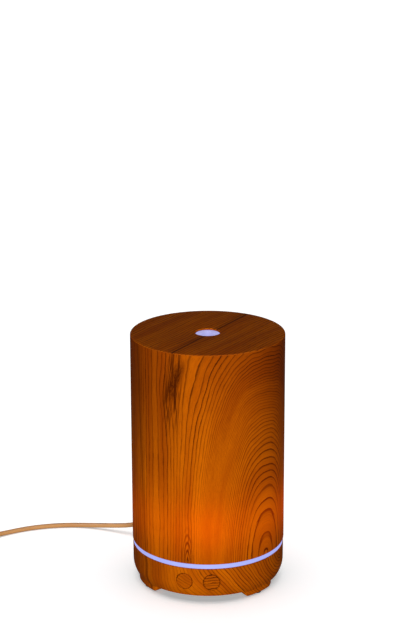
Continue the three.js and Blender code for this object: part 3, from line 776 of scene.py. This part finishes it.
def light_plastic(name, colour, strength):
    """Translucent plastic lit from inside, a little stronger over each lamp."""
    s = Shader(name)
    from_led = s.wrap(s.less(azimuth(s), LED_ANGLE), math.pi / 4)
    hot = s.bell(from_led, 0.34)
    cloud = s.span(s.noise(s.place, 0.25, 2), 0.3, 0.7, 0.97, 1.03)
    level = s.times(s.add(s.times(hot, 0.10), 0.95), cloud)
    glow = s.dimmed(colour, level)
    s.bump(s.noise(s.place, 2.0, 1), 0.02, 0.3)
    return s.finish(
        Base_Color=(0.10, 0.10, 0.13), Roughness=0.45, Specular_IOR_Level=0.2,
        Emission_Color=glow, Emission_Strength=strength,
    )


def circuit_board():
    """Green solder mask with copper tracks showing through and bare pads."""
    s = Shader("circuit_board")
    grid = s.node("ShaderNodeTexBrick", offset=0.5, squash=1.0)
    s.feed(grid.inputs["Vector"], s.place)
    grid.inputs["Scale"].default_value = 0.4
    grid.inputs["Mortar Size"].default_value = 0.03
    tracks = s.less(1.0, grid.outputs["Fac"])
    base = s.tint(tracks, (0.05, 0.24, 0.10), (0.025, 0.13, 0.055))
    s.bump(tracks, 0.03, 0.6)
    return s.finish(Base_Color=base, Roughness=0.35, Specular_IOR_Level=0.5)


def cord_jacket():
    """A smooth tan jacket with slow colour changes along it and a faint drawn texture."""
    s = Shader("cord_jacket")
    slow = s.noise(s.place, 0.035, 2)
    fine = s.noise(s.place, 1.4, 3, 0.6)
    base = s.tint(s.span(slow, 0.35, 0.65), (0.62, 0.29, 0.10), (0.72, 0.36, 0.13))
    base = s.tint(s.span(fine, 0.45, 0.8, 0, 0.25), base, (0.36, 0.16, 0.06))
    s.bump(fine, 0.05, 0.5)
    return s.finish(Base_Color=base, Roughness=0.5, Specular_IOR_Level=0.35)


make_camera()
FLOOR = make_floor()
make_lights(FLOOR)

# The key is the slot. A piece whose look differs from its slot's names its material.
MATERIALS = {
    "cover_wood": cover_wood(),
    "wood_print": base_wood(),
    "mist_button_wood": button_wood("wood_print_mist_button", -BUTTON_ANGLE, -28, 0.8),
    "light_button_wood": button_wood("wood_print_light_button", BUTTON_ANGLE, 4, 2.2),
    "cover_inside": plastic("cover_inside_plastic", (0.55, 0.40, 0.26), 0.5),
    "milky_plastic": light_plastic("ring_light_plastic", (0.35, 0.395, 0.89), 1.0),
    "outlet_light": light_plastic("outlet_light_plastic", (0.38, 0.375, 0.72), 1.0),
    "white_plastic": plastic("white_plastic", (0.78, 0.77, 0.74), 0.45),
    "dark_plastic": plastic("dark_plastic", (0.030, 0.030, 0.033), 0.5, specular=0.5),
    "rubber_pad": plastic("rubber_pad", (0.035, 0.034, 0.033), 0.85, grain=0.12, specular=0.25),
    "silicone": plastic("silicone", (0.62, 0.62, 0.60), 0.6),
    "steel": metal("plated_steel", (0.60, 0.61, 0.63), 0.32),
    "brass": metal("sintered_brass", (0.72, 0.50, 0.20), 0.35),
    "copper": metal("winding_copper", (0.60, 0.25, 0.10), 0.4, 6.0),
    "circuit_board": circuit_board(),
    "cord_jacket": cord_jacket(),
    "plug_plastic": plastic("plug_grip", (0.56, 0.28, 0.11), 0.45, grain=0.08),
}

# ---- Power lead: first, because its room outside the view is measured ----

CORD_RADIUS = 1.55
PLUG_Y = 54
LEAD_ROUTE = [
    (-24.3, 54, 12.8), (-33, 54.1, 12.4), (-44, 54.6, 10.7), (-54, 55.5, 8.1), (-62.1, 56.9, 5.9),
    (-70.7, 58.9, 4.3), (-79.4, 60.8, 3.1), (-87.9, 62, 2.2), (-96.3, 62.4, 1.7), (-104.5, 61.5, 1.6),
    (-112.4, 59.7, 1.6), (-120.1, 57.1, 1.6), (-127.8, 53.6, 1.6), (-135.1, 49.2, 1.6),
    (-142, 43.9, 1.7), (-150.6, 36.2, 2.1),
]
TAIL_ROUTE = [(-152.9, 31, 8.3), (-152.8, 24, 7), (-152.6, 16, 5.2), (-152.5, 9, 4.2), (-152.5, 3.3, 4)]
COIL_PLACE = (-174, 43.5)
COIL_RADIUS = 18.0
COIL_START = math.radians(-48)
COIL_BOTTOM = 0.9
COIL_STEPS = 24
# The cell that each turn lies in: (how far in from the outside, how far up), in cord diameters.
COIL_CELLS = [(0, 0), (1, 0), (2, 0), (2, 1), (2, 2), (1, 2), (1, 1), (0, 1), (0, 2)]


def coil_points():
    """Nine turns in a three by three bundle, each stepping to the next cell near the start angle."""
    width = 2 * CORD_RADIUS
    points = []
    turns = len(COIL_CELLS)
    end = turns - COIL_START / (-2 * math.pi)
    shift = 0.16
    count = int(end * COIL_STEPS)
    for k in range(count + 1):
        t = end * k / count
        turn = min(int(t), turns - 1)
        part = t - turn
        ahead = min(turn + 1, turns - 1)
        mix = max(0.0, (part - (1 - shift)) / shift)
        mix = mix * mix * (3 - 2 * mix)
        cell = [a + (b - a) * mix for a, b in zip(COIL_CELLS[turn], COIL_CELLS[ahead])]
        radius = COIL_RADIUS + width - cell[0] * width
        angle = COIL_START - 2 * math.pi * t
        height = COIL_BOTTOM + CORD_RADIUS + cell[1] * width
        x = COIL_PLACE[0] + radius * math.cos(angle)
        y = COIL_PLACE[1] + radius * math.sin(angle)
        points.append((x, y, height))
    return points


def smooth_curve(name, points, radius):
    """A round tube along a smooth curve through points in millimetres."""
    data = bpy.data.curves.new(name, "CURVE")
    data.dimensions = "3D"
    data.bevel_depth = radius * MM
    data.bevel_resolution = 6
    data.resolution_u = 4
    data.use_fill_caps = True
    spline = data.splines.new("BEZIER")
    spline.bezier_points.add(len(points) - 1)
    for knot, p in zip(spline.bezier_points, points):
        knot.co = Vector(p) * MM
        knot.handle_left_type = "AUTO"
        knot.handle_right_type = "AUTO"
    made = bpy.data.objects.new(name, data)
    COLLECTION.objects.link(made)
    return made


def to_left(mesh):
    """Lays an upright mesh down inside the plug's head, so that its heights run towards -X."""
    return turned(mesh, (-90, "Y"), move=(0, PLUG_Y, JACK_Z))


def make_lead():
    outline = [(0, 48.0), (4.7, 48.0, 0.6), (4.7, 58.6, 1.6), (0, 58.6)]
    head = to_object("angled_plug", along_y(lathe(outline, 96)))
    unite(head, to_left(lathe([(0, 0), (3.5, 0), (3.5, 9.0, 0.5), (0, 9.0)], 64)))
    bevel(head, 0.5, 3, 30)
    dress(head, "power_lead", "plug_plastic", "dc_plug")

    outline = [(0, 9.3), (3.1, 9.3, 0.3)]
    ribs = 6
    for i in range(ribs):
        start = 10.6 + i * 2.1
        radius = 3.0 - i * 0.17
        outline += [(radius, start, 0.15), (radius - 0.55, start + 0.25, 0.1)]
        outline += [(radius - 0.6, start + 0.85, 0.1), (radius - 0.15, start + 1.1, 0.15)]
    outline += [(2.0, 23.6), (1.95, 24.7, 0.3), (0, 24.7)]
    relief = to_object("cord_strain_relief", to_left(lathe(outline, 64, 3)))
    dress(relief, "power_lead", "plug_plastic", "strain_relief")

    outline = [(1.35, 38, 0.2), (2.75, 38, 0.3), (2.75, 47.7), (1.35, 47.7)]
    barrel = to_object("barrel_contact", along_y(lathe(outline, 64)))
    dress(barrel, "power_lead", "steel", "plug_barrel")

    lead = smooth_curve("power_lead_cord", LEAD_ROUTE + coil_points() + TAIL_ROUTE, CORD_RADIUS)
    dress(lead, "power_lead", "cord_jacket", "power_cord", "cord_coil", "cord_tail")

    lo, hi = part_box("usb_plug")
    across, back = (lo.x / MM, hi.x / MM), hi.y / MM
    mid = (across[0] + across[1]) / 2
    grip = to_object("usb_grip", box_mesh(across, (lo.y / MM, back - 13), (lo.z / MM, hi.z / MM), 1.5, 4))
    outline = [(0, -0.7), (2.2, -0.7, 0.4), (3.1, 13.2), (0, 13.2)]
    unite(grip, turned(lathe(outline, 48), (90, "X"), move=(mid, back, 4)))
    grooves = [box_mesh((x, x + 0.8), (-24, -12), (-1, 9)) for x in (across[0] - 0.3, across[1] - 0.5)]
    cut(grip, *grooves)
    dress(grip, "power_lead", "plug_plastic", "usb_plug")

    lo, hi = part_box("usb_shell")
    x, y, z = ((lo[i] / MM, hi[i] / MM) for i in range(3))
    shell = to_object("usb_metal_shell", box_mesh(x, y, z, 0.35, 3))
    cut(shell, box_mesh((x[0] + 0.4, x[1] - 0.4), (y[0] - 5, y[1] - 1), (z[0] + 0.4, z[1] - 0.4)))
    holes = [box_mesh((mid + d - 1.2, mid + d + 1.2), (y[1] - 7, y[1] - 4.6), (-5, 15)) for d in (-2.9, 2.9)]
    cut(shell, *holes)
    dress(shell, "power_lead", "steel", "usb_shell")
    slab = box_mesh((x[0] + 0.6, x[1] - 0.6), (y[0] + 0.6, y[1] - 1), (4.1, 5.7), 0.15, 2)
    tongue = to_object("usb_tongue", slab)
    dress(tongue, "power_lead", "white_plastic")
    contacts = bmesh.new()
    for offset in (-3.5, -1.0, 1.0, 3.5):
        strip = box_mesh((mid + offset - 0.5, mid + offset + 0.5), (y[0] + 1.4, y[1] - 1.5), (3.95, 4.2))
        data = bpy.data.meshes.new("strip")
        strip.to_mesh(data)
        strip.free()
        contacts.from_mesh(data)
        bpy.data.meshes.remove(data)
    contact = to_object("usb_contacts", contacts)
    dress(contact, "power_lead", "brass")

    inner, outer, tie = COIL_RADIUS - 4.95, COIL_RADIUS + 4.95, 0.6
    top = COIL_BOTTOM + 6 * CORD_RADIUS
    band = to_object("coil_tie", box_mesh((inner - tie, outer + tie), (-2, 2), (0, top + 0.3 + tie), 0.25, 2))
    cut(band, box_mesh((inner, outer), (-5, 5), (tie, top + 0.3), 1.0, 3))
    place = Matrix.Translation((COIL_PLACE[0] * MM, COIL_PLACE[1] * MM, 0))
    band.data.transform(place @ Matrix.Rotation(math.radians(135), 4, "Z"))
    dress(band, "power_lead", "dark_plastic", "cord_tie")


make_lead()

# ---- Lift-off cover, outlet and splash guard ----


def make_cover():
    wall, top_thickness, outlet = 2.4, 2.6, 7.9
    inner, under = COVER_RADIUS - wall, COVER_TOP - top_thickness
    outline = [
        (inner, COVER_BOTTOM, 0.4), (COVER_RADIUS, COVER_BOTTOM, 0.5),
        (COVER_RADIUS, COVER_TOP, 0.8), (outlet, COVER_TOP, 0.35), (outlet, under, 0.3),
        (inner, under, 1.2),
    ]
    cover = to_object("cover_shell", lathe(outline, 256))
    dress(cover, "cover", "wood_print", "outer_cover", material="cover_wood")
    cover.data.materials.append(MATERIALS["cover_inside"])
    for face in cover.data.polygons:
        c = face.center / MM
        radius = math.hypot(c.x, c.y)
        is_inner = outlet + 0.4 <= radius < inner + 0.1 and c.z < under + 0.5
        face.material_index = 1 if is_inner or c.z < COVER_BOTTOM + 0.1 else 0

    flange_top, lip = under - SEAM, outlet - SEAM
    flange_bottom = flange_top - 1.5
    face = COVER_TOP - 0.8
    outline = [
        (4.0, face - 1.3, 0.3), (lip - 1.2, face - 1.3, 0.4), (lip - 1.2, flange_bottom, 0.2),
        (10.5, flange_bottom, 0.3), (10.5, flange_top, 0.3), (lip, flange_top, 0.2),
        (lip, face, 0.5), (4.0, face, 0.5),
    ]
    nozzle = to_object("outlet_lens", lathe(outline, 128, 4))
    dress(nozzle, "cover", "milky_plastic", "mist_nozzle", material="outlet_light")

    bottom = extent("splash_guard", 0, 2)
    outline = [
        (10.9, bottom, 0.5), (12.4, bottom, 0.5), (12.4, flange_bottom, 0.6),
        (16, flange_bottom, 0.3), (16, flange_top, 0.3), (10.9, flange_top, 0.3),
    ]
    guard = to_object("mist_guard_tube", lathe(outline, 128, 4))
    dress(guard, "cover", "white_plastic", "splash_guard")


make_cover()

# ---- Base shell, ring, buttons ----


def hole_cutter(radius, chamfer, degrees, height, facets=96):
    """A drill that points out through the shell, and widens with a chamfer that follows its curve."""
    mesh = bmesh.new()
    rows = []
    for depth, extra in ((-6, 0), (-chamfer, 0), (0.08, chamfer + 0.08), (4, chamfer + 0.08)):
        ring = []
        for k in range(facets):
            a = 2 * math.pi * k / facets
            x, z = (radius + extra) * math.cos(a), (radius + extra) * math.sin(a)
            surface = math.sqrt(BASE_RADIUS**2 - x**2)
            ring.append(mesh.verts.new((x * MM, -(surface + depth) * MM, z * MM)))
        rows.append(ring)
    return turned(skin(mesh, rows), (degrees, "Z"), move=(0, 0, height))


def foot_mesh(centre_angle):
    """A short foot: a curved block whose lower corners are well rounded."""
    inner, outer, bottom, top = 38.4, 44.7, extent("base_shell", 0, 2), 5.6
    half = math.radians(16)
    corner, steps, flat_steps, top_steps = 2.9, 8, 8, 10
    outline = []
    reach = half * outer
    for k in range(steps + 1):
        a = math.pi / 2 * k / steps
        outline.append((-reach + corner - corner * math.cos(a), bottom + corner - corner * math.sin(a)))
    for k in range(1, flat_steps):
        outline.append((-reach + corner + (2 * reach - 2 * corner) * k / flat_steps, bottom))
    for k in range(steps + 1):
        a = math.pi / 2 * k / steps
        outline.append((reach - corner + corner * math.sin(a), bottom + corner - corner * math.cos(a)))
    outline += [(reach - 2 * reach * k / top_steps, top) for k in range(top_steps + 1)]
    mesh = bmesh.new()
    rings = []
    ease, ease_steps = 1.15, 4
    turns = [math.pi / 2 * k / ease_steps for k in range(ease_steps + 1)]
    inwards = [(inner + ease * (1 - math.cos(a)), ease * (1 - math.sin(a))) for a in turns]
    radii = inwards + [(inner + outer - radius, tuck) for radius, tuck in reversed(inwards)]
    for radius, tuck in radii:
        ring = []
        for s, z in outline:
            lifted = z + tuck * max(0, (top - z) / (top - bottom)) ** 2
            squeezed = s * (1 - tuck / reach)
            a = centre_angle + squeezed / outer
            ring.append(mesh.verts.new((radius * MM * math.sin(a), -radius * MM * math.cos(a), lifted * MM)))
        rings.append(ring)
    return skin(mesh, rings)


def make_base():
    wall = 2.2
    inner = BASE_RADIUS - wall
    outline = [
        (38.1, 4.8, 0.3), (45.2, 4.8, 0.6), (BASE_RADIUS, 9.6, 15.0), (BASE_RADIUS, BASE_TOP, 0.4),
        (inner, BASE_TOP, 0.3), (inner, 9.2), (44.3, 8.0), (34.9, 8.0), (34.9, 6.3), (38.1, 6.3),
    ]
    base = to_object("base_body", lathe(outline, 256, 6))
    unite(base, *[foot_mesh(a) for a in FOOT_ANGLES])
    pads = [rod(2.9, -1, 1.8, at_angle(a, PAD_CIRCLE)) for a in FOOT_ANGLES]
    sides = [math.degrees(a) for a in (-BUTTON_ANGLE, BUTTON_ANGLE)]
    buttons = [hole_cutter(5.3, 0.35, degrees, BUTTON_Z) for degrees in sides]
    jack = hole_cutter(4.9, 0.4, 180, JACK_Z)
    cut(base, *pads, *buttons, jack)
    dress(base, "base", "wood_print", "base_shell")

    outline = [
        (RING_RADIUS, RING_BOTTOM, 0.35), (RING_RADIUS, RING_TOP, 0.35), (45.3, RING_TOP, 0.1),
        (45.3, 29, 0.3), (43.7, 29, 0.3), (43.7, 26.2), (40, 26.2, 0.3), (40, 24.4, 0.3),
        (43.4, 24.4), (43.4, 21.8, 0.2), (45.1, 21.8, 0.2), (45.1, RING_BOTTOM),
    ]
    ring = to_object("glow_ring", lathe(outline, 256, 4))
    dress(ring, "base", "milky_plastic", "light_ring")


def make_button(name, angle):
    """A round cap whose face follows the curve of the base."""
    outline = [
        (0, 47.75), (1.5, 47.75), (3.0, 47.75), (5.0, 47.75, 0.45), (5.0, 44.7), (5.9, 44.7, 0.2),
        (5.9, 43.6, 0.2), (1.5, 43.6), (1.5, 42.2, 0.2), (0, 42.2),
    ]
    mesh = lathe(outline, 96, 5)
    for v in mesh.verts:
        if v.co.z > 44.8 * MM:
            v.co.z += math.sqrt((BASE_RADIUS * MM) ** 2 - v.co.x**2) - BASE_RADIUS * MM
    turned(mesh, (90, "X"), (math.degrees(angle), "Z"), move=(0, 0, BUTTON_Z))
    cap = to_object(f"{name}_button_cap", mesh)
    dress(cap, f"{name}_key", "wood_print", f"{name}_button", material=f"{name}_button_wood")


make_base()
make_button("mist", -BUTTON_ANGLE)
make_button("light", BUTTON_ANGLE)

# ---- Water tank, air duct, transducer ----

BOSS_PLACES = [at_angle(math.radians(a), BOSS_CIRCLE) for a in (45, 135, 225, 315)]


def make_tank():
    radius, inner = 42.3, 40.3
    outline = [
        (8, 29.2), (11.8, 29.2), (11.8, 26.5, 0.3), (17, 26.5, 0.4), (17, 29.3), (20, 29.4),
        (32.5, 31, 4), (38.8, 34.7, 2), (inner, 37.5), (inner, 29.4), (38.5, 29.4),
        (38.5, 27.6, 0.2), (43.2, 27.6, 0.2), (43.2, 29.4, 0.3), (radius, 29.8),
        (radius, TANK_RIM, 0.8), (inner, TANK_RIM, 0.8), (inner, 42, 5), (38, 36.5, 3),
        (32, 33, 5), (20, 31.4, 10), (8, 31.2, 0.3),
    ]
    tank = to_object("tank_cup", lathe(outline, 192))
    unite(tank, *[rod(3.5, 8.2, 32, place, 0.3) for place in BOSS_PLACES])
    duct_y = middle("air_duct", 1)
    holes = [rod(1.5, 7, 21, place) for place in BOSS_PLACES]
    cut(tank, *holes, rod(7.3, 20, 50, (0, duct_y, 0), segments=96))
    dress(tank, "base", "white_plastic", "water_tank")

    top = extent("air_duct", 1, 2)
    outline = [
        (5.5, 26.9, 0.2), (9, 26.9, 0.3), (9, 28.6, 0.3), (7, 28.6, 0.4), (7, top, 1.4), (0, top),
        (0, top - 1.8), (5.5, top - 1.8, 0.9),
    ]
    duct = to_object("air_chimney", lathe(outline, 96))
    cut(duct, box_mesh((-4, 4), (-12, 0), (71, 80), 1.0, 3))
    duct.data.transform(Matrix.Translation((0, duct_y * MM, 0)))
    dress(duct, "base", "white_plastic", "air_duct")

    disc = to_object("mist_disc", rod(10, 27, 28, edge=0.25, segments=96))
    dress(disc, "base", "steel", "piezo_disc")
    outline = [
        (8.3, 28.3, 0.1), (10.5, 28.3), (10.5, 26.5, 0.1), (11.5, 26.5, 0.2), (11.5, 28.9, 0.2),
        (8.3, 28.9, 0.25),
    ]
    seal = to_object("disc_seal", lathe(outline, 96, 3))
    dress(seal, "base", "silicone", "piezo_seal")


# ---- Underside and back ----


def cross_screw(head, high, shank, length):
    """A screw with its domed head at the bottom and a cross recess in it."""
    outline = [
        (0, 0), (head * 0.62, 0, head * 0.3), (head, high * 0.55, head * 0.12), (head, high, 0.08),
        (shank, high), (shank, length - shank), (0, length),
    ]
    screw = to_object("screw", lathe(outline, 48, 4))
    arm, wide, deep = head * 0.55, head * 0.13, high * 0.6
    flat = box_mesh((-arm, arm), (-wide, wide), (-1, deep), 0.05, 1)
    other = box_mesh((-wide, wide), (-arm, arm), (-1, deep), 0.05, 1)
    return cut(screw, flat, other)


def make_underside():
    low, high = extent("bottom_plate", 0, 2), 7.8
    outline = [(0, low), (37.8, low, 0.5), (37.8, 6, 0.1), (34.6, 6), (34.6, high, 0.3), (0, high)]
    plate = to_object("intake_plate", lathe(outline, 160))
    unite(plate, *[rod(2.2, high - 0.4, 9.4, (side * 30, 6, 0), 0.2) for side in (-1, 1)])
    slots = [box_mesh((-10, 10), (y - 1.2, y + 1.2), (-3, 14), 1.1, 4) for y in (2, 6, 10, 14, 18)]
    recesses = [rod(3.1, -2, 6.6, place) for place in BOSS_PLACES]
    holes = [rod(1.6, 0, 12, place) for place in BOSS_PLACES]
    cut(plate, *slots, *recesses, *holes)
    dress(plate, "base", "dark_plastic", "bottom_plate")
    for i, place in enumerate(BOSS_PLACES, 1):
        screw = cross_screw(2.8, 1.2, 1.2, 14)
        screw.name = f"case_screw_{i}"
        screw.data.transform(Matrix.Translation(Vector((place[0], place[1], low + 0.1)) * MM))
        dress(screw, "base", "steel", f"bottom_screw_{i}")
    for i, angle in enumerate(FOOT_ANGLES, 1):
        pad = to_object(f"grip_pad_{i}", rod(2.6, 0, 1.5, at_angle(angle, PAD_CIRCLE), 0.35))
        dress(pad, "base", "rubber_pad", f"foot_pad_{i}")


def make_jack():
    front, back = extent("dc_jack", 0, 1), extent("dc_jack", 1, 1)
    half, tall = extent("dc_jack", 1, 0), 4.5
    block = box_mesh((-half, half), (front, 44.2), (JACK_Z - tall, JACK_Z + tall), 0.5, 3)
    jack = to_object("power_socket", block)
    unite(jack, along_y(lathe([(0, 43), (tall, 43), (tall, back, 0.5), (0, back)], 64)))
    cut(jack, along_y(rod(3.1, front + 1.5, 50, segments=64)))
    dress(jack, "base", "dark_plastic", "dc_jack")
    outline = [(0, front + 1.6), (1, front + 1.6), (1, 46.5, 0.6), (0, 46.5)]
    pin = to_object("socket_pin", along_y(lathe(outline, 32)))
    dress(pin, "base", "steel")


make_tank()
make_underside()
make_jack()

# ---- CAD nodes that stay, with their materials by slot ----

for entry in frame["record"]["subparts"]:
    node = frame["nodes"][entry["node"]]
    node.data.materials.clear()
    node.data.materials.append(MATERIALS[entry["material_slot"]])
